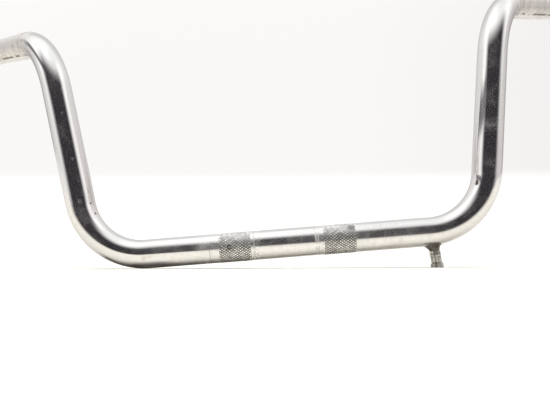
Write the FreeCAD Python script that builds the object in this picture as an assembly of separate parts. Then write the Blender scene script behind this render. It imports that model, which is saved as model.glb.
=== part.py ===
"""Motorcycle handlebar: a bent chromed steel tube with two knurled clamp bands and a cable outlet.

Millimetres. The origin is on the tube's axis, half way along the straight clamp section.
+X runs along the clamp section to the rider's left, +Y points backwards to the rider, +Z points up.
"""

import FreeCAD, Part
import math
import os

Vector = FreeCAD.Vector

# Tube
TUBE_RADIUS = 12.7
TUBE_WALL = 3.0
END_CHAMFER = 0.8

# Run of one side of the bar, from the middle outwards
CLAMP_HALF_LENGTH = 123.0
LOWER_BEND_RADIUS = 58.0
RISER_LENGTH = 108.0
RISER_LEAN = 9.5        # degrees that a riser leans outwards
UPPER_BEND_RADIUS = 72.0
GRIP_LENGTH = 190.0
GRIP_SWEEP = 45.0       # degrees from +X towards +Y
GRIP_RISE = 16.0        # degrees above the XY plane

# Knurled clamp bands
BAND_CENTRE = 45.0
BAND_LENGTH = 28.0
BAND_DEPTH = 0.5        # how far the band goes into the tube
BAND_RAISE = 0.2        # how far the rolled crests stand out of it

# Punch mark on the front of the band on the -X side
PUNCH_X = -49.8
PUNCH_RADIUS = 1.6
PUNCH_DEPTH = 1.1

# Cable outlet, measured along its own axis from the axis of the bar
OUTLET_X = 125.8
OUTLET_LEAN = 3.9       # degrees that the outlet's foot leans outwards
OUTLET_START = 10.4
OUTLET_TIP = 31.6
OUTLET_BORE_RADIUS = 3.0
OUTLET_TUBE_RADIUS = 4.1
SLEEVE_RADIUS = 4.7
SLEEVE_START = 16.8
SLEEVE_END = 27.4
SLEEVE_BAND_RADIUS = 4.9
SLEEVE_BAND_START = 20.0
SLEEVE_BAND_END = 21.3
FERRULE_NECK_RADIUS = 4.75
FERRULE_RADIUS = 5.45
FERRULE_NECK_LENGTH = 0.9
FERRULE_EDGE = 0.5
BRAZE_FOOT_RADIUS = 7.8
BRAZE_END = 16.4

ORIGIN = Vector(0, 0, 0)
X_AXIS = Vector(1, 0, 0)
Y_AXIS = Vector(0, 1, 0)


def leaning(angle):
    """Unit vector in the XZ plane, tipped from straight up towards +X by an angle in degrees."""
    radians = math.radians(angle)
    return Vector(math.sin(radians), 0, math.cos(radians))


def grip_direction():
    """Unit vector along the grip end on the +X side."""
    sweep = math.radians(GRIP_SWEEP)
    rise = math.radians(GRIP_RISE)
    level = math.cos(rise)
    return Vector(level * math.cos(sweep), level * math.sin(sweep), math.sin(rise))


def along(start, direction, distance):
    """Point a given distance from start."""
    return start + direction * distance


def disc(centre, normal, radius):
    """Round face."""
    return Part.Face(Part.Wire(Part.makeCircle(radius, centre, normal)))


def rod(start, direction, length, radius):
    """Straight round bar."""
    return Part.makeCylinder(radius, length, start, direction)


def pipe(start, direction, length, outer, inner):
    """Straight hollow cylinder."""
    return rod(start, direction, length, outer).cut(rod(start, direction, length, inner))


def elbow(start, tangent, new_tangent, bend_radius, radius):
    """Round bar bent along an arc from one tangent to another. Gives the solid and its far end."""
    axis = tangent.cross(new_tangent).normalize()
    inward = axis.cross(tangent)
    centre = along(start, inward, bend_radius)
    turn = math.degrees(tangent.getAngle(new_tangent))
    solid = disc(start, tangent, radius).revolve(centre, axis, turn)
    radial = start - centre
    end = centre + FreeCAD.Rotation(axis, turn).multVec(radial)
    return solid, end


def side_run(radius):
    """Round bar along one side of the handlebar, as touching solids, with the far end of the grip."""
    riser = leaning(RISER_LEAN)
    grip = grip_direction()
    lower_bend, riser_start = elbow(
        Vector(CLAMP_HALF_LENGTH, 0, 0), X_AXIS, riser, LOWER_BEND_RADIUS, radius)
    riser_end = along(riser_start, riser, RISER_LENGTH)
    upper_bend, grip_start = elbow(riser_end, riser, grip, UPPER_BEND_RADIUS, radius)
    pieces = [
        lower_bend,
        rod(riser_start, riser, RISER_LENGTH, radius),
        upper_bend,
        rod(grip_start, grip, GRIP_LENGTH, radius),
    ]
    return pieces, along(grip_start, grip, GRIP_LENGTH)


def bent_bar(radius):
    """Round bar along the whole handlebar, and the far end of the grip on the +X side."""
    clamp_start = Vector(-CLAMP_HALF_LENGTH, 0, 0)
    clamp_section = rod(clamp_start, X_AXIS, 2 * CLAMP_HALF_LENGTH, radius)
    right_pieces, grip_end = side_run(radius)
    left_pieces = [piece.mirror(ORIGIN, X_AXIS) for piece in right_pieces]
    return clamp_section.multiFuse(right_pieces + left_pieces).removeSplitter(), grip_end


def clamp_band(centre_x):
    """Knurled band let into the tube's surface."""
    start = Vector(centre_x - BAND_LENGTH / 2, 0, 0)
    return pipe(start, X_AXIS, BAND_LENGTH, TUBE_RADIUS + BAND_RAISE, TUBE_RADIUS - BAND_DEPTH)


def punch_tool():
    """Cone that makes the punch mark."""
    forward = Y_AXIS * -1
    bottom = along(Vector(PUNCH_X, 0, 0), forward, TUBE_RADIUS + BAND_RAISE - PUNCH_DEPTH)
    return Part.makeCone(0, 2 * PUNCH_RADIUS, 2 * PUNCH_DEPTH, bottom, forward)


def chamfered_ends(tube, grip_end):
    """The tube with its two outer end edges chamfered."""
    ends = [grip_end, Vector(-grip_end.x, grip_end.y, grip_end.z)]
    edges = []
    for edge in tube.Edges:
        is_outer = isinstance(edge.Curve, Part.Circle) and abs(edge.Curve.Radius - TUBE_RADIUS) < 0.01
        if is_outer and any(edge.Curve.Center.distanceToPoint(end) < 0.01 for end in ends):
            edges.append(edge)
    return tube.makeChamfer(END_CHAMFER, edges)


def outlet_axis():
    """Start point on the bar's axis and direction of the cable outlet."""
    down = leaning(-OUTLET_LEAN) * -1
    return Vector(OUTLET_X, 0, 0), down


def outlet_pipe(start, end, outer, inner):
    """Hollow cylinder on the outlet's axis."""
    origin, down = outlet_axis()
    return pipe(along(origin, down, start), down, end - start, outer, inner)


def outlet_turned(profile):
    """Solid turned about the outlet's axis. The profile is a list of (distance, radius) corners."""
    origin, down = outlet_axis()
    corners = [along(along(origin, down, distance), Y_AXIS, radius) for distance, radius in profile]
    face = Part.Face(Part.makePolygon(corners + corners[:1]))
    return face.revolve(origin, down, 360)


def outlet_sleeve():
    """Sleeve over the outlet tube, with one raised band."""
    sleeve = outlet_pipe(SLEEVE_START, SLEEVE_END, SLEEVE_RADIUS, OUTLET_TUBE_RADIUS)
    band = outlet_pipe(SLEEVE_BAND_START, SLEEVE_BAND_END, SLEEVE_BAND_RADIUS, OUTLET_TUBE_RADIUS)
    return sleeve.fuse(band).removeSplitter()


def outlet_ferrule():
    """Flared ring on the outlet's end."""
    neck_end = SLEEVE_END + FERRULE_NECK_LENGTH
    return outlet_turned([
        (SLEEVE_END, OUTLET_TUBE_RADIUS),
        (SLEEVE_END, FERRULE_NECK_RADIUS),
        (neck_end, FERRULE_RADIUS),
        (OUTLET_TIP - FERRULE_EDGE, FERRULE_RADIUS),
        (OUTLET_TIP, FERRULE_RADIUS - FERRULE_EDGE),
        (OUTLET_TIP, OUTLET_TUBE_RADIUS),
    ])


def outlet_braze(bar_solid):
    """Braze metal between the bar and the outlet tube, with a hollow cone for its outline."""
    middle = (TUBE_RADIUS + BRAZE_END) / 2
    waist = (BRAZE_FOOT_RADIUS + OUTLET_TUBE_RADIUS) / 2 - 0.5
    blank = outlet_turned([
        (OUTLET_START, OUTLET_TUBE_RADIUS),
        (OUTLET_START, BRAZE_FOOT_RADIUS),
        (TUBE_RADIUS, BRAZE_FOOT_RADIUS),
        (middle, waist),
        (BRAZE_END, OUTLET_TUBE_RADIUS + 0.4),
        (BRAZE_END, OUTLET_TUBE_RADIUS),
    ])
    return blank.cut(bar_solid)


def build():
    """All the pieces of the handlebar, by node name."""
    bar_solid, grip_end = bent_bar(TUBE_RADIUS)
    bore_solid, _ = bent_bar(TUBE_RADIUS - TUBE_WALL)
    tube = chamfered_ends(bar_solid.cut(bore_solid), grip_end)

    origin, down = outlet_axis()
    outlet_hole = rod(origin, down, TUBE_RADIUS + TUBE_WALL, OUTLET_TUBE_RADIUS)
    left_band = clamp_band(BAND_CENTRE)
    right_band = clamp_band(-BAND_CENTRE)
    tube = tube.cut(outlet_hole).cut(left_band).cut(right_band).cut(punch_tool())

    return {
        "handlebar_tube": tube,
        "clamp_knurl_left": left_band,
        "clamp_knurl_right": right_band.cut(punch_tool()),
        "outlet_braze": outlet_braze(bar_solid),
        "outlet_tube": outlet_pipe(OUTLET_START, OUTLET_TIP, OUTLET_TUBE_RADIUS, OUTLET_BORE_RADIUS),
        "outlet_sleeve": outlet_sleeve(),
        "outlet_ferrule": outlet_ferrule(),
    }


os.makedirs("parts", exist_ok=True)
for name, shape in build().items():
    shape.exportStep(f"parts/{name}.step")
    box = shape.BoundBox
    print(f"{name}: valid {shape.isValid()}, {len(shape.Solids)} solid, {shape.Volume:.0f} mm3, "
          f"X {box.XMin:.1f} to {box.XMax:.1f}, Y {box.YMin:.1f} to {box.YMax:.1f}, "
          f"Z {box.ZMin:.1f} to {box.ZMax:.1f}")
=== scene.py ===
import math

import bmesh
import bpy
import numpy as np
from mathutils import Matrix, Vector, noise


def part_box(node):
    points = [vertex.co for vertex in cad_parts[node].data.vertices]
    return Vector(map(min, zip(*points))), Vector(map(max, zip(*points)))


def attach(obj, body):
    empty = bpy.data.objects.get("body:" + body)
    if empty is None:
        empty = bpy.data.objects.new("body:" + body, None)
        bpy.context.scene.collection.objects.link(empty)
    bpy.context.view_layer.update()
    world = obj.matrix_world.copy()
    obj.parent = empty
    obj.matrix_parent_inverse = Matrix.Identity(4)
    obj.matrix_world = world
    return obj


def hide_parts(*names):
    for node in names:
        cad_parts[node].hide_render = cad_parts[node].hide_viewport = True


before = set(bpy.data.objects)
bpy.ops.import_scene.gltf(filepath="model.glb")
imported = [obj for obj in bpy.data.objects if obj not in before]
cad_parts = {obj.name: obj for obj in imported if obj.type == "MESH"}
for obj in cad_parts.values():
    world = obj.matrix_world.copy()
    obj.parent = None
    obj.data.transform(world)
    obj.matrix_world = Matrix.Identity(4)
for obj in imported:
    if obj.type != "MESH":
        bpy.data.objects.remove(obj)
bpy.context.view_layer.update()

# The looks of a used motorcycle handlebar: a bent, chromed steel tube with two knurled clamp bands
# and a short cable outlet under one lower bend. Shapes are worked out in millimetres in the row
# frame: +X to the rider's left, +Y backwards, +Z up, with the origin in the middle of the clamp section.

MM = 0.001

# Run of the bar's centreline on the +X side
TUBE_RADIUS = 12.7
BORE_RADIUS = 9.7
CLAMP_HALF_LENGTH = 123.0
LOWER_BEND_RADIUS = 58.0
RISER_LENGTH = 108.0
RISER_LEAN = math.radians(9.5)
UPPER_BEND_RADIUS = 72.0
GRIP_LENGTH = 190.0
GRIP_SWEEP = math.radians(45.0)
GRIP_RISE = math.radians(16.0)
END_CHAMFER = 0.8

# How the bender squeezed the tube: share of the radius lost towards the bend's middle,
# share of that loss gained sideways, and the lengths over which the squeezes fade out
SQUEEZES = (0.045, 0.055)
SQUEEZE_FADES = (36.0, 60.0)
SIDE_GAIN = 0.2

# Marks that riser clamps left round the tube: place along X, half width and depth
CLAMP_MARKS = [(-66.5, 0.4, 0.04), (-28.7, 0.45, 0.06), (24.5, 0.4, 0.05), (26.4, 0.35, 0.04)]

# Small rust and dirt marks: centre and radius
RUST_MARKS = [
    ((166.8, -8.2, 38.2), 1.7),
    ((167.6, -7.9, 40.5), 1.3),
    ((-168.9, -6.4, 47.8), 0.9),
    ((-165.3, -5.2, 38.8), 1.1),
    ((-29.7, -12.6, 1.4), 0.9),
    ((173.3, -12.6, 31.9), 0.5)]

# Dusty smudges that lighten the dark reflections: centre, radius and strength
SMUDGES = [
    ((73.5, -11.0, -6.4), 2.2, 0.10),
    ((96.0, -11.6, -5.2), 2.0, 0.08),
    ((-189.1, -11.9, 129.1), 1.2, 0.10),
    ((-181.5, -11.6, 87.7), 1.2, 0.09),
    ((-176.3, -12.1, 49.1), 1.8, 0.10),
    ((180.6, -11.0, 89.4), 2.5, 0.05),
    ((135.4, -8.0, 11.5), 2.5, 0.06)]

# Spot of old grease on the +X knurled band: centre, radius and soft edge
GREASE_CENTRE = (55.5, -9.0, 9.0)
GREASE_RADIUS = 3.5
GREASE_EDGE = 2.0

# Spacing of the bar's rings on straight runs, in and beside bends, and at the clamps' marks
STRAIGHT_STEP = 7.0
BEND_STEP = 1.5
BEND_MARGIN = 9.0
MARK_STEP = 0.2
MARK_REACH = 4
BAR_POINTS = 96

# Knurled bands: size of a diamond, height of an unworn crest over the tube, how much of that height
# wear can take, depth of the grooves below the crests, how far the flat crests reach towards the
# grooves, mesh points per diamond, and the plain rim and the run-in at both ends of a band
KNURL_PITCH_ALONG = 3.2
KNURL_PITCH_AROUND = 2.35
KNURL_CREST = 0.16
KNURL_WEAR = 0.25
KNURL_DEPTH = 0.34
KNURL_FLAT = 0.58
KNURL_SAMPLES = 12
KNURL_RIM = 0.1
KNURL_RUN_IN = 0.9

# Seats of the bands in the tube, and the gap that keeps fitted faces apart
BAND_SEAT = 0.5
GAP = 0.01

# Punch mark on the front of the -X band
PUNCH_X = -49.8
PUNCH_RADIUS = 1.7
PUNCH_DEPTH = 1.1

# Cable outlet, by distance from the bar's axis along its own axis
OUTLET_X = 125.8
OUTLET_LEAN = math.radians(3.9)
OUTLET_START = 10.4
OUTLET_TIP = 31.6
OUTLET_LIP = 0.2
OUTLET_BORE_RADIUS = 3.0
OUTLET_TUBE_RADIUS = 4.1
SLEEVE_RADIUS = 4.7
SLEEVE_START = 16.8
SLEEVE_END = 27.4
FERRULE_RADIUS = 5.45
BRAZE_FOOT_RADIUS = 7.8
BRAZE_END = 16.6
DRILL_CENTRE = 13.0
DRILL_LENGTH = 12.0

X_AXIS = np.array([1.0, 0.0, 0.0])
Y_AXIS = np.array([0.0, 1.0, 0.0])
Z_AXIS = np.array([0.0, 0.0, 1.0])
MIRROR = np.array([-1.0, 1.0, 1.0])


# ---------------------------------------------------------------- small tools

def unit(vector):
    return vector / np.linalg.norm(vector)


def turned(vector, axis, angle):
    """The vector turned about a unit axis."""
    across = np.cross(axis, vector)
    along = axis * np.dot(axis, vector)
    return vector * math.cos(angle) + across * math.sin(angle) + along * (1 - math.cos(angle))


def smooth(value):
    """0 below 0, 1 above 1 and an even slope between."""
    value = np.clip(value, 0.0, 1.0)
    return value * value * (3 - 2 * value)


def rise(value, start, length):
    """0 up to a start value, then an even slope up to 1 over a length."""
    return smooth((value - start) / length)


def fall(value, end, length):
    """1 at first, then an even slope over a length, down to 0 at an end value."""
    return smooth((end - value) / length)


def lumps(point, size, seed=0.0):
    """Even noise from -1 to 1 with lumps of about the given size."""
    place = Vector(point) / size
    return noise.noise(place + Vector((seed, seed, seed)))


def grid_mesh(name, rows, sharp_angle=35.0):
    """Closed piece from an array of rings of points, in millimetres: the last ring joins the first."""
    count, around = rows.shape[:2]
    index = np.arange(count * around).reshape(count, around)
    next_row = np.roll(index, -1, axis=0)
    faces = np.stack([
        index, next_row, np.roll(next_row, -1, axis=1), np.roll(index, -1, axis=1)], axis=-1)
    mesh = bpy.data.meshes.new(name)
    mesh.from_pydata((rows.reshape(-1, 3) * MM).tolist(), [], faces.reshape(-1, 4).tolist())
    shape = bmesh.new()
    shape.from_mesh(mesh)
    bmesh.ops.recalc_face_normals(shape, faces=shape.faces)
    shape.to_mesh(mesh)
    shape.free()
    mesh.shade_smooth()
    mesh.set_sharp_from_angle(angle=math.radians(sharp_angle))
    piece = bpy.data.objects.new(name, mesh)
    bpy.context.scene.collection.objects.link(piece)
    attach(piece, "root")
    return piece


def rounded(corners, radius, steps=4):
    """Closed outline of (distance, radius) corners with each corner replaced by a small curve."""
    outline = []
    for before, here, after in zip(corners[-1:] + corners[:-1], corners, corners[1:] + corners[:1]):
        here = np.array(here)
        into = np.array(before) - here
        out = np.array(after) - here
        start = here + unit(into) * min(radius, 0.45 * np.linalg.norm(into))
        end = here + unit(out) * min(radius, 0.45 * np.linalg.norm(out))
        for share in np.linspace(0, 1, steps + 1):
            outline.append((1 - share) ** 2 * start + 2 * share * (1 - share) * here + share ** 2 * end)
    return outline


# ---------------------------------------------------------------- the bar's centreline

def riser_direction():
    return np.array([math.sin(RISER_LEAN), 0.0, math.cos(RISER_LEAN)])


def grip_direction():
    level = math.cos(GRIP_RISE)
    return np.array([level * math.cos(GRIP_SWEEP), level * math.sin(GRIP_SWEEP), math.sin(GRIP_RISE)])


class Run:
    """One straight or one arc of the centreline."""

    def __init__(self, start, point, tangent, front, length, axis=None, radius=None):
        self.start = start
        self.point = point
        self.tangent = tangent
        self.front = front
        self.length = length
        self.axis = axis
        self.radius = radius

    def at(self, distance):
        """Point, tangent and front direction a distance from the bar's middle."""
        travel = distance - self.start
        if self.axis is None:
            return self.point + self.tangent * travel, self.tangent, self.front
        angle = travel / self.radius
        inward = np.cross(self.axis, self.tangent)
        centre = self.point + inward * self.radius
        point = centre - turned(inward, self.axis, angle) * self.radius
        return point, turned(self.tangent, self.axis, angle), turned(self.front, self.axis, angle)

    def inward(self, distance):
        """Direction to the bend's centre, held still beyond the bend's two ends."""
        travel = min(max(distance - self.start, 0.0), self.length)
        return turned(np.cross(self.axis, self.tangent), self.axis, travel / self.radius)


def centreline():
    """The runs of the +X side, from the bar's middle to the grip's end."""
    runs = []
    point, tangent, front, distance = np.zeros(3), X_AXIS, -Y_AXIS, 0.0
    plan = [
        (CLAMP_HALF_LENGTH, None, None),
        (None, riser_direction(), LOWER_BEND_RADIUS),
        (RISER_LENGTH, None, None),
        (None, grip_direction(), UPPER_BEND_RADIUS),
        (GRIP_LENGTH, None, None),
    ]
    for length, new_tangent, radius in plan:
        axis = None
        if new_tangent is not None:
            axis = unit(np.cross(tangent, new_tangent))
            length = radius * math.acos(float(np.dot(tangent, new_tangent)))
        run = Run(distance, point, tangent, front, length, axis, radius)
        runs.append(run)
        distance += length
        point, tangent, front = run.at(distance)
    return runs


def squeeze_weight(run, distance, fade):
    """How much of a bend's squeeze is felt at a distance: 1 in the bend, fading out at its ends."""
    past_start = distance - run.start
    return rise(past_start, -0.3 * fade, fade) * (1 - rise(past_start - run.length, -0.7 * fade, fade))


def squeezed(direction, tangent, bends, distance):
    """Factor on the tube's radius in one direction, from the squeeze of both bends."""
    factor = 1.0
    for bend, squeeze, fade in zip(bends, SQUEEZES, SQUEEZE_FADES):
        weight = float(squeeze_weight(bend, distance, fade))
        if weight <= 0.0:
            continue
        inward = bend.inward(distance)
        across = np.cross(tangent, inward)
        thin = 1 - squeeze * weight
        wide = 1 + SIDE_GAIN * squeeze * weight
        factor /= math.hypot(np.dot(direction, inward) / thin, np.dot(direction, across) / wide)
    return factor


# ---------------------------------------------------------------- the bar

def stations(runs):
    """Distances along one side at which the tube gets a ring, closer where its shape changes."""
    places = {0.0}
    for run in runs:
        step = STRAIGHT_STEP if run.axis is None else BEND_STEP
        count = max(1, round(run.length / step))
        places.update(run.start + run.length * share for share in np.linspace(0, 1, count + 1))
        if run.axis is not None:
            offsets = np.arange(-BEND_MARGIN, BEND_MARGIN + 0.1, BEND_STEP)
            for edge in (run.start, run.start + run.length):
                places.update(edge + offset for offset in offsets)
    return places


def mark_stations():
    """Distances at which the tube gets more rings, to show the clamps' marks."""
    places = set()
    for place, half, _ in CLAMP_MARKS:
        reach = MARK_REACH * half
        places.update(abs(place) + offset for offset in np.arange(-reach, reach + 0.01, MARK_STEP))
    return places


def ring(run, bends, distance, radius):
    """Ring of points round the centreline at one distance."""
    point, tangent, front = run.at(distance)
    side = np.cross(front, tangent)
    points = []
    for angle in np.arange(BAR_POINTS) * (2 * math.pi / BAR_POINTS):
        direction = front * math.cos(angle) + side * math.sin(angle)
        points.append(point + direction * radius * squeezed(direction, tangent, bends, distance))
    return np.array(points)


def mark_depth(x):
    """How deep the clamps' marks are at a place along X."""
    return sum(depth * math.exp(-((x - place) / half) ** 2) for place, half, depth in CLAMP_MARKS)


def make_bar():
    """The bent tube with its bore, the seats of the knurled bands and the outlet's hole."""
    runs = centreline()
    bends = [run for run in runs if run.axis is not None]
    total = runs[-1].start + runs[-1].length
    low, high = (corner.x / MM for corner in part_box("clamp_knurl_left"))
    seat = TUBE_RADIUS - BAND_SEAT
    places = stations(runs)
    outer_places = [
        place for place in places | mark_stations()
        if place <= total - END_CHAMFER and not low - 0.01 < place < high + 0.01]

    def ring_at(distance, radius):
        run = next(run for run in runs if distance <= run.start + run.length + 1e-6)
        return ring(run, bends, distance, radius)

    def outer_rings(side):
        rings = [(place, TUBE_RADIUS - mark_depth(side * place)) for place in outer_places]
        rings += [(edge, TUBE_RADIUS - mark_depth(side * edge)) for edge in (low, high)]
        rings += [(low + 1e-4, seat), (high - 1e-4, seat)]
        rings.sort(key=lambda item: item[0])
        rings += [(total - END_CHAMFER, TUBE_RADIUS), (total, TUBE_RADIUS - END_CHAMFER)]
        rings += [(total, BORE_RADIUS)]
        return np.array([ring_at(distance, radius) for distance, radius in rings])

    inner_places = [place for place in sorted(places, reverse=True) if place < total - 1e-6]
    plus_inner = np.array([ring_at(place, BORE_RADIUS) for place in inner_places])
    minus_inner = plus_inner * MIRROR
    minus_outer = outer_rings(-1) * MIRROR
    rows = np.concatenate([outer_rings(1), plus_inner, minus_inner[::-1][1:], minus_outer[::-1][:-1]])
    bar = grid_mesh("bar", rows)
    drill_outlet_hole(bar)
    return bar


def outlet_axis():
    """Start point on the bar's axis and direction of the cable outlet."""
    return X_AXIS * OUTLET_X, np.array([math.sin(OUTLET_LEAN), 0.0, -math.cos(OUTLET_LEAN)])


def drill_outlet_hole(bar):
    """Opens the tube's lower wall inside the cable outlet."""
    origin, down = outlet_axis()
    centre = origin + down * DRILL_CENTRE
    bpy.ops.mesh.primitive_cylinder_add(
        vertices=48, radius=OUTLET_TUBE_RADIUS * MM, depth=DRILL_LENGTH * MM, location=centre * MM)
    drill = bpy.context.object
    drill.rotation_euler = (0.0, -OUTLET_LEAN, 0.0)
    bpy.context.view_layer.update()
    cut = bar.modifiers.new("outlet_hole", "BOOLEAN")
    cut.object = drill
    cut.operation = "DIFFERENCE"
    graph = bpy.context.evaluated_depsgraph_get()
    bored = bpy.data.meshes.new_from_object(bar.evaluated_get(graph), depsgraph=graph)
    bar.modifiers.clear()
    bar.data = bored
    bpy.data.objects.remove(drill)


# ---------------------------------------------------------------- the knurled bands

def knurl_height(first, second):
    """Height of a worn diamond knurl, from 0 in its grooves to 1 on its flat crests."""
    groove = np.maximum(np.abs(2 * (first % 1) - 1), np.abs(2 * (second % 1) - 1))
    return 1 - np.clip((groove - KNURL_FLAT) / (1 - KNURL_FLAT), 0, 1) ** 0.9


def crest_wear(first, second, pitches_around):
    """Random value from 0 to 1 for each diamond, the same on both sides of the place where the ring
    closes.
    """
    row, column = np.floor(first), np.floor(second)
    # The usual sine hash of two whole numbers
    key = (row + column) * 12.9898 + ((row - column) % (2 * pitches_around)) * 78.233
    return (np.sin(key) * 43758.5453) % 1


def make_band(name, node, punched):
    """Ring of rolled diamonds that fills its seat in the tube."""
    low, high = (corner.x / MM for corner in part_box(node))
    length = high - low
    pitches_along = round(length / KNURL_PITCH_ALONG)
    pitches_around = round(2 * math.pi * TUBE_RADIUS / KNURL_PITCH_AROUND)
    places = np.linspace(low, high, pitches_along * KNURL_SAMPLES + 1)
    around = pitches_around * KNURL_SAMPLES
    angles = np.arange(around) * (2 * math.pi / around)
    x, angle = np.meshgrid(places, angles, indexing="ij")
    place_along = (x - low) / length * pitches_along
    place_around = angle / (2 * math.pi) * pitches_around
    first, second = place_along + place_around, place_along - place_around
    height = knurl_height(first, second)
    wear = crest_wear(first, second, pitches_around)
    edge = rise(np.minimum(x - low, high - x), KNURL_RIM, KNURL_RUN_IN)
    crest = KNURL_CREST * (1 - KNURL_WEAR + KNURL_WEAR * wear)
    radius = TUBE_RADIUS + edge * (crest - KNURL_DEPTH * (1 - height))
    groove = edge * (1 - height)
    if punched:
        arc = TUBE_RADIUS * np.where(angle > math.pi, angle - 2 * math.pi, angle)
        off = np.hypot(x - PUNCH_X, arc) / PUNCH_RADIUS
        floor = TUBE_RADIUS - PUNCH_DEPTH * (1 - off ** 1.5)
        radius = np.where(off < 1, np.minimum(radius, floor), radius)
        groove = np.maximum(groove, fall(off, 1.05, 0.2))
    points = np.stack([x, -radius * np.cos(angle), radius * np.sin(angle)], axis=-1)
    seat = TUBE_RADIUS - BAND_SEAT + GAP
    inner = np.stack([x, -seat * np.cos(angle), seat * np.sin(angle)], axis=-1)
    rows = np.concatenate([points, inner[[-1, 0]]])
    band = grid_mesh(name, rows, 60.0)
    unseen = np.zeros(2 * around)
    for key, values in (("groove", groove), ("wear", wear)):
        values = np.concatenate([values.ravel(), unseen]).astype(np.float32)
        band.data.attributes.new(key, "FLOAT", "POINT").data.foreach_set("value", values)
    return band


# ---------------------------------------------------------------- the cable outlet

def make_turned(name, outline, around=96, wobble=0.0, lump=3.0, seed=0.0):
    """Piece turned about the outlet's axis from a closed outline, with a little unevenness."""
    origin, down = outlet_axis()
    side = unit(np.cross(down, Y_AXIS))
    rows = []
    for distance, radius in outline:
        points = []
        for angle in np.arange(around) * (2 * math.pi / around):
            direction = Y_AXIS * math.cos(angle) + side * math.sin(angle)
            uneven = wobble * lumps(direction * radius + down * distance, lump, seed)
            points.append(origin + down * distance + direction * (radius + uneven))
        rows.append(points)
    return grid_mesh(name, np.array(rows))


def make_outlet_tube():
    tip = OUTLET_TIP + OUTLET_LIP
    outline = rounded([
        (OUTLET_START, OUTLET_BORE_RADIUS),
        (OUTLET_START, OUTLET_TUBE_RADIUS),
        (tip, OUTLET_TUBE_RADIUS),
        (tip, OUTLET_BORE_RADIUS)], 0.35)
    return make_turned("outlet_pipe", outline, wobble=0.03, seed=1.0)


def make_sleeve():
    """Sleeve with a raised band near its root and a step at its lower end."""
    inside = OUTLET_TUBE_RADIUS + GAP
    outline = rounded([
        (SLEEVE_START, inside),
        (SLEEVE_START, SLEEVE_RADIUS),
        (20.0, SLEEVE_RADIUS - 0.1),
        (20.3, SLEEVE_RADIUS + 0.25),
        (21.1, SLEEVE_RADIUS + 0.25),
        (21.5, SLEEVE_RADIUS - 0.15),
        (26.4, SLEEVE_RADIUS - 0.15),
        (27.0, SLEEVE_RADIUS - 0.45),
        (SLEEVE_END, SLEEVE_RADIUS - 0.45),
        (SLEEVE_END, inside)], 0.25)
    return make_turned("outlet_sleeve_ring", outline, wobble=0.06, seed=5.0)


def make_ferrule():
    """Ferrule that flares out from the sleeve, with a slanted rim."""
    inside = OUTLET_TUBE_RADIUS + GAP
    outline = rounded([
        (SLEEVE_END, inside),
        (SLEEVE_END, 4.6),
        (28.1, FERRULE_RADIUS),
        (OUTLET_TIP - 0.5, FERRULE_RADIUS),
        (OUTLET_TIP, FERRULE_RADIUS - 0.6),
        (OUTLET_TIP, inside)], 0.35)
    return make_turned("outlet_flare", outline, wobble=0.08, lump=4.0, seed=9.0)


def bar_underside(x, y):
    """Height of the bar's lower surface at a place near the start of the +X lower bend."""
    drop = math.sqrt(max(TUBE_RADIUS ** 2 - y ** 2, 0.0))
    beyond = max(x - CLAMP_HALF_LENGTH, 0.0)
    reach = LOWER_BEND_RADIUS + drop
    return LOWER_BEND_RADIUS - math.sqrt(reach ** 2 - beyond ** 2)


def make_braze():
    """Rough fillet of braze metal between the bar and the outlet."""
    around, steps = 120, 26
    origin, down = outlet_axis()
    side = unit(np.cross(down, Y_AXIS))
    columns = []
    for angle in np.arange(around) * (2 * math.pi / around):
        direction = Y_AXIS * math.cos(angle) + side * math.sin(angle)
        # Uneven foot on the bar, root in the corner, and uneven top on the outlet tube
        spread = 1 + 0.07 * lumps(direction * 8, 5.0, 2.0) + 0.04 * lumps(direction * 8, 1.7, 4.0)
        foot = origin + direction * BRAZE_FOOT_RADIUS * spread
        foot[2] = bar_underside(foot[0], foot[1])
        root = origin + direction * (OUTLET_TUBE_RADIUS + 0.8)
        root[2] = bar_underside(root[0], root[1])
        top = origin + down * (BRAZE_END + 0.5 * lumps(direction * 6, 4.0, 7.0))
        top = top + direction * (OUTLET_TUBE_RADIUS + 0.25)
        column = []
        for share in np.linspace(0, 1, steps):
            point = (1 - share) ** 2 * top + 2 * share * (1 - share) * root + share ** 2 * foot
            bead = 0.35 * math.sin(math.pi * share)
            rough = 0.30 * lumps(point, 1.9, 11.0) + 0.12 * lumps(point, 0.8, 13.0)
            swell = bead + rough * math.sin(math.pi * share) ** 0.5
            column.append(point + unit(point - origin) * swell)
        # Hidden inner faces, inside the bar's wall and the outlet tube
        inside = origin + direction * (OUTLET_TUBE_RADIUS - 0.3)
        column.append(foot + unit(origin - foot) * 1.2)
        column.append(inside + down * 12.0)
        column.append(inside + down * (BRAZE_END - 0.3))
        columns.append(column)
    rows = np.array(columns).transpose(1, 0, 2)
    return grid_mesh("braze_fillet", rows, 80.0)


# ---------------------------------------------------------------- materials

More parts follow.
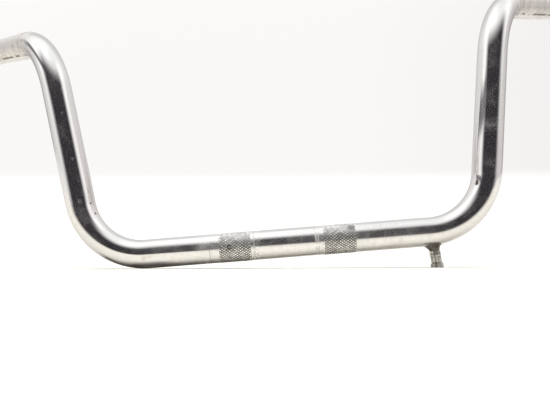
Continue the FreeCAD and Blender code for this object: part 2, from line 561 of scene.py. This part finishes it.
class Shader:
    """Builds a node tree with short calls. Each call gives the new node's output."""

    def __init__(self, tree):
        self.tree = tree

    def node(self, kind, inputs=None, output=0, **settings):
        made = self.tree.nodes.new(kind)
        for key, value in settings.items():
            setattr(made, key, value)
        for key, value in (inputs or {}).items():
            if isinstance(value, bpy.types.NodeSocket):
                self.tree.links.new(value, made.inputs[key])
            else:
                made.inputs[key].default_value = value
        return made.outputs[output] if made.outputs else None

    def math(self, operation, first, second=0.0):
        return self.node("ShaderNodeMath", {0: first, 1: second}, operation=operation)

    def place(self):
        """The surface point in the row frame, in metres."""
        return self.node("ShaderNodeTexCoord", output="Object")

    def split(self, vector):
        """The three parts of a vector."""
        parts = self.tree.nodes.new("ShaderNodeSeparateXYZ")
        self.tree.links.new(vector, parts.inputs[0])
        return parts.outputs["X"], parts.outputs["Y"], parts.outputs["Z"]

    def along(self, vector, direction, start):
        """How far a point is along a direction from a start point. The result is in metres."""
        shift = self.node("ShaderNodeVectorMath", {0: vector, 1: tuple(start * MM)}, operation="SUBTRACT")
        inputs = {0: shift, 1: tuple(direction)}
        return self.node("ShaderNodeVectorMath", inputs, output="Value", operation="DOT_PRODUCT")

    def product(self, *values):
        """All values multiplied."""
        result = values[0]
        for value in values[1:]:
            result = self.math("MULTIPLY", result, value)
        return result

    def total(self, *values):
        """All values added up."""
        result = values[0]
        for value in values[1:]:
            result = self.math("ADD", result, value)
        return result

    def line(self, value, centre, half, soft):
        """1 within half a width of a value, fading out over a soft edge. Sizes in millimetres."""
        off = self.math("ABSOLUTE", self.math("SUBTRACT", value, centre * MM))
        return self.between(off, (half + soft) * MM, half * MM)

    def noise(self, vector, scale, detail=2.0, roughness=0.5):
        inputs = {"Vector": vector, "Scale": scale, "Detail": detail, "Roughness": roughness}
        return self.node("ShaderNodeTexNoise", inputs, output=0)

    def stretched(self, vector, factors):
        """The vector with its parts scaled, to draw a noise out into streaks."""
        return self.node("ShaderNodeVectorMath", {0: vector, 1: factors}, operation="MULTIPLY")

    def between(self, value, low, high, to_low=0.0, to_high=1.0):
        """Maps a value smoothly from one range to another."""
        inputs = {"Value": value, "From Min": low, "From Max": high, "To Min": to_low, "To Max": to_high}
        return self.node("ShaderNodeMapRange", inputs, interpolation_type="SMOOTHSTEP")

    def mix(self, share, first, second):
        """Mixes two colours."""
        inputs = {0: share, 6: first, 7: second}
        return self.node("ShaderNodeMix", inputs, output=2, data_type="RGBA")

    def spot(self, centre, radius, soft):
        """1 inside a ball round a point, 0 outside it. Sizes in millimetres."""
        point = tuple(c * MM for c in centre)
        inputs = {0: self.place(), 1: point}
        away = self.node("ShaderNodeVectorMath", inputs, output="Value", operation="DISTANCE")
        return self.between(away, (radius + soft) * MM, max(radius - soft, 0.0) * MM)

    def bump(self, height, distance, normal=None):
        inputs = {"Height": height, "Distance": distance * MM, "Strength": 1.0}
        if normal is not None:
            inputs["Normal"] = normal
        return self.node("ShaderNodeBump", inputs)


def new_material(name):
    material = bpy.data.materials.new(name)
    material.use_nodes = True
    material.node_tree.nodes.clear()
    return material, Shader(material.node_tree)


def finish_material(shader, inputs):
    surface = shader.node("ShaderNodeBsdfPrincipled", inputs)
    shader.node("ShaderNodeOutputMaterial", {"Surface": surface})


def specks(shader, place, scale, size, share):
    """Small round specks: a given share of cells about 1/scale metres wide holds one."""
    inputs = {"Vector": place, "Scale": scale, "Randomness": 1.0}
    cells = shader.node("ShaderNodeTexVoronoi", inputs, output="Distance").node
    close = shader.between(cells.outputs["Distance"], size, size * 0.4)
    red = shader.node("ShaderNodeSeparateColor", {0: cells.outputs["Color"]})
    chosen = shader.math("LESS_THAN", red, share)
    return shader.math("MULTIPLY", close, chosen)


def clamp_wear(shader, place, x):
    """Dull film that the riser clamps left beside the knurled bands, and its sharp-edged rings."""
    uneven = shader.noise(place, 120.0, 3.0, 0.6)
    drift = shader.math("MULTIPLY", shader.math("SUBTRACT", uneven, 0.5), 0.006)
    shifted = shader.math("ADD", x, drift)
    low, high = (corner.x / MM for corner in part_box("clamp_knurl_left"))
    zones = [(-(high + 7.0), 7.0, 6.0, 0.55), (-(low - 3.5), 3.0, 1.2, 0.75),
             (low - 3.5, 3.0, 1.2, 0.60), (high + 4.0, 4.0, 5.0, 0.35)]
    films = [
        shader.product(shader.line(shifted, centre, half, soft), strength)
        for centre, half, soft, strength in zones]
    film = shader.product(shader.total(*films), shader.between(uneven, 0.30, 0.62, 0.45, 1.0))
    broken = shader.between(shader.noise(place, 210.0, 2.0), 0.36, 0.52)
    thin_mark, *wide_marks = CLAMP_MARKS
    rings = [shader.line(x, centre, half, 0.35) for centre, half, _ in wide_marks]
    lower = shader.between(shader.split(place)[2], 0.001, -0.002)
    thin = shader.product(shader.line(x, thin_mark[0] - 0.2, 0.12, 0.25), lower, 0.6)
    return film, shader.product(shader.total(*rings), broken), thin


def grip_wear_and_painted_reflection(shader, place, out, y, z):
    """Glue and rust that old rubber grips left, as blotches and rings, with a painted dark reflection
    along the underside: a dark line and dark patches beside it.
    The rings are given by place along the grip and half width."""
    ring_places = [(-6.0, 0.3), (9.5, 1.2), (27.0, 0.5)]
    on_grip = shader.between(out, 0.220, 0.236)
    mirrored = shader.node("ShaderNodeCombineXYZ", {0: out, 1: y, 2: z})
    direction = grip_direction()
    start = centreline()[-1].point
    underside = unit(direction * direction[2] - Z_AXIS)
    # Direction from the grip's axis to the painted dark reflection line, turned 29 degrees round from
    # straight down
    painted_dark_line = turned(underside, direction, math.radians(-29))
    along = shader.along(mirrored, direction, start)
    aside = shader.along(mirrored, np.cross(direction, painted_dark_line), start)
    facing = shader.between(shader.along(mirrored, painted_dark_line, start), 0.0, 0.006)

    # Blotches are drawn out round the tube
    shortened = {0: shader.math("MULTIPLY", along, 2.2), 1: y, 2: z}
    blotch = shader.noise(shader.node("ShaderNodeCombineXYZ", shortened), 75.0, 3.0, 0.6)
    # Painted dark reflection patches beside the line, on the side of the underside that faces it
    below = shader.product(
        shader.line(aside, -3.0, 3.5, 2.5), facing, shader.between(blotch, 0.40, 0.58))
    # Real glue blotches, with the painted dark reflection patches among them
    stained = shader.math("MAXIMUM", shader.between(blotch, 0.53, 0.64), below)

    breaks = shader.between(shader.noise(place, 95.0, 1.0), 0.40, 0.55)
    # Painted dark reflection line along the underside, broken in places
    painted_reflection_line = shader.product(shader.line(aside, 0.0, 0.7, 0.9), facing, breaks)
    rings = [shader.line(along, centre, half, 0.6) for centre, half in ring_places]
    ring_breaks = shader.between(shader.noise(place, 150.0, 2.0), 0.50, 0.60, 0.0, 0.5)
    rings_and_painted_reflection = shader.math("MAXIMUM", painted_reflection_line, shader.product(shader.total(*rings), ring_breaks))
    return on_grip, shader.product(on_grip, stained), shader.product(on_grip, rings_and_painted_reflection, 0.75)


def bar_film(shader, place, rings, clamp_film, on_grip):
    """Dusty film that lightens the dark reflections, strongest on the clamp section and the grips."""
    x, _, z = shader.split(place)
    out = shader.math("ABSOLUTE", x)
    smudge = shader.between(shader.noise(place, 62.0, 4.0, 0.6), 0.48, 0.68)
    mottle = shader.between(shader.noise(place, 190.0, 3.0, 0.6), 0.42, 0.66)
    on_clamp = shader.product(shader.between(out, 0.150, 0.105), shader.between(z, 0.035, 0.012))
    clamp_dust = shader.product(on_clamp, shader.between(mottle, 0.0, 1.0, 0.045, 0.10))

    # A dull ring with a haze beside it, round the +X riser
    on_riser = shader.between(x, 0.10, 0.15)
    ring_strength = shader.between(mottle, 0.0, 1.0, 0.05, 0.13)
    riser_ring = shader.product(shader.line(z, 87.5, 0.6, 1.5), on_riser, ring_strength)
    riser_haze = shader.product(shader.line(z, 88.0, 3.0, 5.0), on_riser, 0.05)

    smudges = [
        shader.product(shader.spot(centre, radius, radius * 0.8), strength)
        for centre, radius, strength in SMUDGES]
    film = shader.total(
        0.012, clamp_dust,
        shader.product(smudge, 0.055),
        shader.product(clamp_film, 0.30),
        shader.product(rings, 0.30),
        riser_ring, riser_haze, *smudges,
        shader.product(on_grip, 0.25))
    return shader.node("ShaderNodeClamp", {0: film})


def bar_dirt_and_painted_reflection(shader, place, grip_rings_and_painted_reflection, thin):
    """Brown stains under the clamp section, and dark rust marks, pits and lines, with the grips' painted
    dark reflection line among them.
    """
    x, _, z = shader.split(place)
    below = shader.product(shader.between(z, 0.0, -0.004), shader.between(z, 0.05, 0.02))
    patches = shader.between(shader.noise(place, 70.0, 4.0, 0.65), 0.50, 0.68)
    brown = shader.product(below, patches, shader.between(x, 0.12, -0.10, 0.25, 0.8))
    pits = specks(shader, place, 900.0, 0.24, 0.13)
    pits = shader.product(pits, shader.between(shader.noise(place, 90.0, 2.0), 0.46, 0.60))
    marks = [shader.spot(centre, radius, 0.8) for centre, radius in RUST_MARKS]
    dark = shader.node("ShaderNodeClamp", {0: shader.total(pits, grip_rings_and_painted_reflection, thin, *marks)})
    return brown, dark


def bar_chrome():
    """Chrome with a film of dust, stains, rust marks and the traces of clamps and grips."""
    material, shader = new_material("worn_chrome")
    place = shader.place()
    x, y, z = shader.split(place)
    haze = shader.noise(place, 35.0, 4.0, 0.6)
    fine = shader.noise(place, 420.0, 3.0, 0.6)
    clamp_film, rings, thin = clamp_wear(shader, place, x)
    # The grips' stains and lines carry a painted dark reflection along their underside as well as real
    # glue and rust
    on_grip, stained, grip_rings_and_painted_reflection = grip_wear_and_painted_reflection(shader, place, shader.math("ABSOLUTE", x), y, z)
    film = bar_film(shader, place, rings, clamp_film, on_grip)
    brown, dark = bar_dirt_and_painted_reflection(shader, place, grip_rings_and_painted_reflection, thin)

    colour = shader.mix(haze, (0.70, 0.68, 0.67, 1.0), (0.735, 0.715, 0.705, 1.0))
    colour = shader.mix(brown, colour, (0.58, 0.50, 0.45, 1.0))
    colour = shader.mix(on_grip, colour, (0.76, 0.725, 0.70, 1.0))
    # Grip blotches: real glue, with painted dark reflection patches
    colour = shader.mix(shader.product(stained, 0.55), colour, (0.40, 0.34, 0.30, 1.0))
    colour = shader.mix(shader.product(rings, 0.6), colour, (0.42, 0.41, 0.41, 1.0))
    # Rust marks, pits and real lines, with the grips' painted dark reflection line
    colour = shader.mix(dark, colour, (0.10, 0.075, 0.06, 1.0))

    rough = shader.total(
        shader.between(haze, 0.3, 0.8, 0.045, 0.085),
        shader.product(clamp_film, 0.10),
        shader.product(brown, 0.10),
        shader.product(on_grip, 0.25),
        shader.product(rings, 0.20),
        shader.product(dark, 0.40))

    bumps = shader.bump(shader.noise(place, 55.0, 1.0), 0.03)
    bumps = shader.bump(fine, 0.003, bumps)
    bumps = shader.bump(shader.math("SUBTRACT", 1.0, dark), 0.05, bumps)
    finish_material(shader, {
        "Base Color": colour, "Metallic": shader.math("SUBTRACT", 1.0, film), "Roughness": rough,
        "Normal": bumps, "Specular Tint": (0.75, 0.75, 0.75, 1.0)})
    return material


def knurl_chrome():
    """Worn chrome crests of the knurled bands, with dirt in the grooves that thins out towards the top
    as painted light, so the top reads lighter. The crests are dull enough for the noise filter to see
    their colours, so it keeps the fine diamonds."""
    material, shader = new_material("knurled_chrome")
    place = shader.place()
    groove = shader.node("ShaderNodeAttribute", output="Fac", attribute_name="groove")
    wear = shader.node("ShaderNodeAttribute", output="Fac", attribute_name="wear")
    dirt = shader.between(shader.noise(place, 260.0, 3.0, 0.6), 0.3, 0.6, 0.8, 1.0)
    worn = shader.noise(place, 75.0, 2.0)
    # Painted light: towards the band's top the groove darkening drops to about a third, so the top reads
    # lighter
    painted_top_light = shader.between(shader.split(place)[2], 0.001, 0.007, 1.0, 0.35)
    # Real dirt in the grooves, thinned on top as painted light
    groove_dirt_and_top_light = shader.product(shader.between(groove, 0.06, 0.42), dirt, painted_top_light)
    grease = shader.spot(GREASE_CENTRE, GREASE_RADIUS, GREASE_EDGE)
    crest = shader.mix(wear, (0.60, 0.585, 0.565, 1.0), (1.0, 0.98, 0.96, 1.0))
    colour = shader.mix(groove_dirt_and_top_light, crest, (0.06, 0.054, 0.045, 1.0))
    colour = shader.mix(shader.product(grease, 0.6), colour, (0.10, 0.09, 0.08, 1.0))
    rough = shader.total(shader.between(worn, 0.3, 0.7, 0.28, 0.33), shader.product(groove_dirt_and_top_light, 0.2))
    dulled = shader.total(worn, shader.product(groove_dirt_and_top_light, 0.3))
    metal = shader.between(dulled, 0.3, 1.0, 0.97, 0.80)
    bumps = shader.bump(shader.noise(place, 900.0, 2.0), 0.008)
    finish_material(shader, {
        "Base Color": colour, "Metallic": metal, "Roughness": rough, "Normal": bumps})
    return material


def outlet_steel():
    """Dull, stained steel of the cable outlet, with a painted dark reflection line on its front, rings on
    its sleeve and a painted highlight on the sleeve's raised band.
    """
    material, shader = new_material("dull_outlet_steel")
    place = shader.place()
    origin, down = outlet_axis()
    side = unit(np.cross(Y_AXIS, down))
    across = shader.along(place, side, origin)
    front = shader.between(shader.along(place, -Y_AXIS, origin), 0.0, 0.002)
    depth = shader.along(place, down, origin)
    stain = shader.noise(place, 210.0, 3.0, 0.6)
    streak = shader.noise(shader.stretched(place, (1.0, 1.0, 0.25)), 620.0, 2.0)
    stained = shader.total(shader.product(stain, 0.6), shader.product(streak, 0.4))
    share = shader.between(stained, 0.44, 0.62)
    # Painted dark reflection line down the front, a little off centre
    painted_dark_line = shader.product(shader.line(across, 1.9, 0.35, 0.5), front, 0.85)
    dark_rings = [
        shader.product(shader.line(depth, centre, 0.3, 0.5), 0.55)
        for centre in (SLEEVE_START + 2.6, SLEEVE_END - 0.2)]
    # Painted highlight on the sleeve's raised band
    painted_band_highlight = shader.product(shader.line(depth, SLEEVE_START + 4.0, 0.45, 0.4), 0.6)
    # The painted reflection line together with the dark rings
    dark = shader.node("ShaderNodeClamp", {0: shader.total(painted_dark_line, *dark_rings)})
    colour = shader.mix(share, (0.56, 0.55, 0.52, 1.0), (0.27, 0.255, 0.22, 1.0))
    colour = shader.mix(painted_band_highlight, colour, (0.70, 0.68, 0.63, 1.0))
    colour = shader.mix(shader.product(dark, 0.8), colour, (0.12, 0.11, 0.09, 1.0))
    rough = shader.total(shader.between(stain, 0.3, 0.7, 0.24, 0.42), shader.product(dark, 0.2))
    bumps = shader.bump(shader.noise(place, 800.0, 3.0, 0.6), 0.015)
    metal = shader.between(share, 0.0, 1.0, 0.95, 0.75)
    finish_material(shader, {
        "Base Color": colour, "Metallic": metal, "Roughness": rough, "Normal": bumps})
    return material


def braze_metal():
    """Dark, crusty braze with lighter spots where the crust has worn off."""
    material, shader = new_material("dark_braze")
    place = shader.place()
    crust = shader.noise(place, 420.0, 4.0, 0.65)
    stain = shader.between(shader.noise(place, 170.0, 2.0), 0.35, 0.65)
    brown = shader.mix(stain, (0.060, 0.052, 0.044, 1.0), (0.15, 0.135, 0.115, 1.0))
    colour = shader.mix(shader.between(crust, 0.56, 0.72), brown, (0.34, 0.32, 0.27, 1.0))
    finish_material(shader, {
        "Base Color": colour, "Metallic": 0.5, "Roughness": 0.5, "Normal": shader.bump(crust, 0.25)})
    return material


# ---------------------------------------------------------------- studio

FLOOR_NORMAL = unit(np.array([0.073, 0.0, 1.0]))
FLOOR_POINT = np.array([-128.2, 0.0, -12.75])
CAMERA_PLACE = np.array([-4.06, -438.37, -13.44])
CAMERA_TURN = math.radians(0.56)
CAMERA_TILT = math.radians(6.018)
CAMERA_ROLL = math.radians(-4.484)
CAMERA_LENS = 32.706

# Size of the floor, the sun's spread, lean and strength, and the distance of the reflected room
FLOOR_SIZE = 8.0
SUN_SPREAD = math.radians(84)
SUN_LEAN = math.radians(15)
SUN_STRENGTH = 4.4
DOME_RADIUS = 1000.0
DOME_GROWTH_START = 20.0


def floor_height(x):
    """Height of the floor at a place along X."""
    return FLOOR_POINT[2] - FLOOR_NORMAL[0] / FLOOR_NORMAL[2] * (x - FLOOR_POINT[0])


def make_floor():
    """Plain pale floor under the lower bend and the outlet's tip."""
    bpy.ops.mesh.primitive_plane_add(size=FLOOR_SIZE, location=FLOOR_POINT * MM)
    floor = bpy.context.object
    floor.name = "floor"
    floor.rotation_mode = "QUATERNION"
    floor.rotation_quaternion = Vector(FLOOR_NORMAL).to_track_quat("Z", "Y")
    material, shader = new_material("pale_floor")
    speckle = shader.noise(shader.place(), 60.0, 2.0)
    colour = shader.mix(speckle, (0.91, 0.895, 0.82, 1.0), (0.94, 0.925, 0.85, 1.0))
    finish_material(shader, {"Base Color": colour, "Roughness": 1.0, "Specular IOR Level": 0.0})
    floor.data.materials.append(material)


def make_screen(name, points, cover, colour, one_sided=False):
    """Studio screen that only shows in reflections. It is see-through where its cover is 0."""
    rows, columns = cover.shape
    index = np.arange(rows * columns).reshape(rows, columns)
    faces = np.stack([index[:-1, :-1], index[:-1, 1:], index[1:, 1:], index[1:, :-1]], axis=-1)
    mesh = bpy.data.meshes.new(name)
    mesh.from_pydata((points.reshape(-1, 3) * MM).tolist(), [], faces.reshape(-1, 4).tolist())
    covers = mesh.attributes.new("cover", "FLOAT", "POINT")
    covers.data.foreach_set("value", cover.ravel().astype(np.float32))
    screen = bpy.data.objects.new(name, mesh)
    bpy.context.scene.collection.objects.link(screen)
    screen.visible_camera = False
    screen.visible_diffuse = False
    screen.visible_shadow = False
    material, shader = new_material(name)
    share = shader.node("ShaderNodeAttribute", output="Fac", attribute_name="cover")
    if one_sided:
        front = shader.math("SUBTRACT", 1.0, shader.node("ShaderNodeNewGeometry", output="Backfacing"))
        share = shader.math("MULTIPLY", share, front)
    clear = shader.node("ShaderNodeBsdfTransparent")
    glow = shader.node("ShaderNodeEmission", {"Color": (*colour, 1.0)})
    mixed = shader.node("ShaderNodeMixShader", {0: share, 1: clear, 2: glow})
    shader.node("ShaderNodeOutputMaterial", {"Surface": mixed})
    mesh.materials.append(material)


def dome(azimuths, heights, growth=0.0):
    """Grid of points by azimuth from -Y and height in degrees. It is one dome radius away, and above
    a start height it moves off by the growth for each degree."""
    azimuth, height = np.meshgrid(np.radians(azimuths), np.radians(heights))
    away = DOME_RADIUS + growth * np.clip(np.degrees(height) - DOME_GROWTH_START, 0, None)
    return away[..., None] * np.stack([
        np.cos(height) * np.sin(azimuth), -np.cos(height) * np.cos(azimuth), np.sin(height)], axis=-1)


def make_dim_room():
    """Dim room behind the camera, with soft sides and a soft top."""
    azimuths, heights = np.linspace(-78, 82, 81), np.linspace(-4, 72, 39)
    azimuth, height = np.meshgrid(azimuths, heights)
    cover = fall(np.abs(azimuth - 2), 78, 34) * fall(height, 70.5, 38)
    make_screen("dim_room", dome(azimuths, heights, 400.0), cover, (0.040, 0.036, 0.043))


def make_ceiling_edge():
    """Dark edge of the ceiling on the -X side, lower at its far end. The +X riser shows it."""
    azimuths, heights = np.linspace(-114, -44, 71), np.linspace(24, 44, 41)
    azimuth, height = np.meshgrid(azimuths, heights)
    height = height + 7 * fall(azimuth, -98, 16)
    cover = rise(height, 31.5, 3) * fall(height, 42, 4) * rise(azimuth, -114, 8) * fall(azimuth, -44, 6)
    make_screen("ceiling_edge", dome(azimuths, heights), 0.88 * cover, (0.10, 0.095, 0.11))


def make_dark_table_edge():
    """Dark edge of the table in front of the sweep, just above the floor."""
    x, y = np.meshgrid(np.linspace(-900, 900, 61), np.linspace(-1000, -35, 97))
    away = np.degrees(np.abs(np.arctan2(x, -y)))
    cover = fall(y, -35, 115) * fall(away, 78, 34)
    points = np.stack([x, y, floor_height(x) + 0.5], axis=-1)
    make_screen("dark_table_edge", points, cover, (0.085, 0.080, 0.082))


def make_contact_shade():
    """Shade between the bar and the floor beside their contact, which the bar's underside shows."""
    x, y = np.meshgrid(np.linspace(-190, -30, 65), np.linspace(-18, 20, 39))
    near = fall(np.abs(x - FLOOR_POINT[0] - 7), 31.2, 24)
    cover = (0.72 + 0.2 * near) * rise(y + 4 * near, -11.5, 9) * rise(x, -185, 25) * fall(x, -32, 45)
    points = np.stack([x, y, floor_height(x) + 0.1], axis=-1)
    make_screen("contact_shade", points, cover, (0.05, 0.045, 0.04))


def make_white_sheet():
    """White sheet beside the +X riser, seen from its -X side only: the -X upper bend shows it."""
    y, z = np.meshgrid(np.linspace(20, -110, 27), np.linspace(150, 330, 10))
    cover = rise(y, -110, 35) * fall(y, 20, 30) * rise(z, 150, 30)
    points = np.stack([np.full(y.shape, 130.0), y, z], axis=-1)
    make_screen("white_sheet", points, cover, (1.25, 1.22, 1.23), one_sided=True)


def make_world():
    """White studio: walls, their darker corner behind the bar, a bright ceiling and a pale floor."""
    world = bpy.data.worlds.new("studio")
    bpy.context.scene.world = world
    world.cycles_visibility.diffuse = False
    world.use_nodes = True
    world.node_tree.nodes.clear()
    shader = Shader(world.node_tree)
    direction = shader.node("ShaderNodeTexCoord", output="Generated")
    right, back, up = shader.split(direction)
    to_right = shader.between(right, 0.12, 0.75)
    wall = shader.mix(to_right, (0.955, 0.94, 0.935, 1.0), (0.86, 0.835, 0.825, 1.0))
    corner = shader.product(
        shader.between(back, 0.26, 0.38), shader.between(back, 0.80, 0.68),
        shader.between(up, 0.42, 0.32), 0.85)
    wall = shader.mix(corner, wall, (0.64, 0.615, 0.61, 1.0))
    to_side = shader.between(shader.math("ABSOLUTE", right), 0.2, 0.6)
    high = shader.mix(to_side, (0.97, 0.97, 0.96, 1.0), (1.10, 1.10, 1.09, 1.0))
    wall = shader.mix(shader.between(up, 0.32, 0.75), wall, high)
    ceiling = shader.between(shader.math("SUBTRACT", up, back), 0.3, 0.85)
    dimmer = shader.product(shader.between(right, -0.05, 0.2), shader.between(up, 0.8, 0.93))
    bright = shader.mix(dimmer, (1.48, 1.50, 1.50, 1.0), (1.23, 1.27, 1.28, 1.0))
    sky = shader.mix(ceiling, wall, bright)

    # The floor sweeps up into the back wall
    lift = shader.math("MULTIPLY", shader.math("MAXIMUM", back, 0.0), 0.138)
    above = shader.along(direction, FLOOR_NORMAL, np.zeros(3))
    low = shader.between(shader.math("SUBTRACT", above, lift), 0.04, 0.0)
    colour = shader.mix(low, sky, (1.15, 1.14, 1.12, 1.0))
    background = shader.node("ShaderNodeBackground", {"Color": colour, "Strength": 1.0})
    shader.node("ShaderNodeOutputWorld", {"Surface": background})


def make_light():
    """One very soft sun. It lights the floor, and the screens do the rest in reflections."""
    data = bpy.data.lights.new("soft_overhead", "SUN")
    data.angle = SUN_SPREAD
    data.energy = SUN_STRENGTH
    light = bpy.data.objects.new("soft_overhead", data)
    light.rotation_euler = (SUN_LEAN, 0.0, 0.0)
    bpy.context.scene.collection.objects.link(light)
    light.visible_glossy = False


def make_camera():
    """Camera at the photograph's place and angle, close to the floor."""
    data = bpy.data.cameras.new("camera")
    data.sensor_width = 36.0
    data.lens = CAMERA_LENS
    data.clip_start = 0.01
    data.clip_end = 50.0
    camera = bpy.data.objects.new("camera", data)
    turn = Matrix.Rotation(CAMERA_TURN, 3, "Z")
    tilt = Matrix.Rotation(math.pi / 2 + CAMERA_TILT, 3, "X")
    roll = Matrix.Rotation(CAMERA_ROLL, 3, "Z")
    camera.matrix_world = Matrix.LocRotScale(Vector(CAMERA_PLACE * MM), turn @ tilt @ roll, None)
    bpy.context.scene.collection.objects.link(camera)
    bpy.context.scene.camera = camera


# ---------------------------------------------------------------- everything together

def show(piece, material, *nodes):
    piece.data.materials.clear()
    piece.data.materials.append(material)
    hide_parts(*nodes)


chrome, knurl, steel, braze = bar_chrome(), knurl_chrome(), outlet_steel(), braze_metal()
show(make_bar(), chrome, "handlebar_tube")
show(make_band("knurled_band_left", "clamp_knurl_left", False), knurl, "clamp_knurl_left")
show(make_band("knurled_band_right", "clamp_knurl_right", True), knurl, "clamp_knurl_right")
show(make_braze(), braze, "outlet_braze")
show(make_outlet_tube(), steel, "outlet_tube")
show(make_sleeve(), steel, "outlet_sleeve")
show(make_ferrule(), steel, "outlet_ferrule")

make_floor()
make_dim_room()
make_ceiling_edge()
make_dark_table_edge()
make_contact_shade()
make_white_sheet()
make_world()
make_light()
make_camera()
bpy.context.scene.view_settings.view_transform = "Standard"
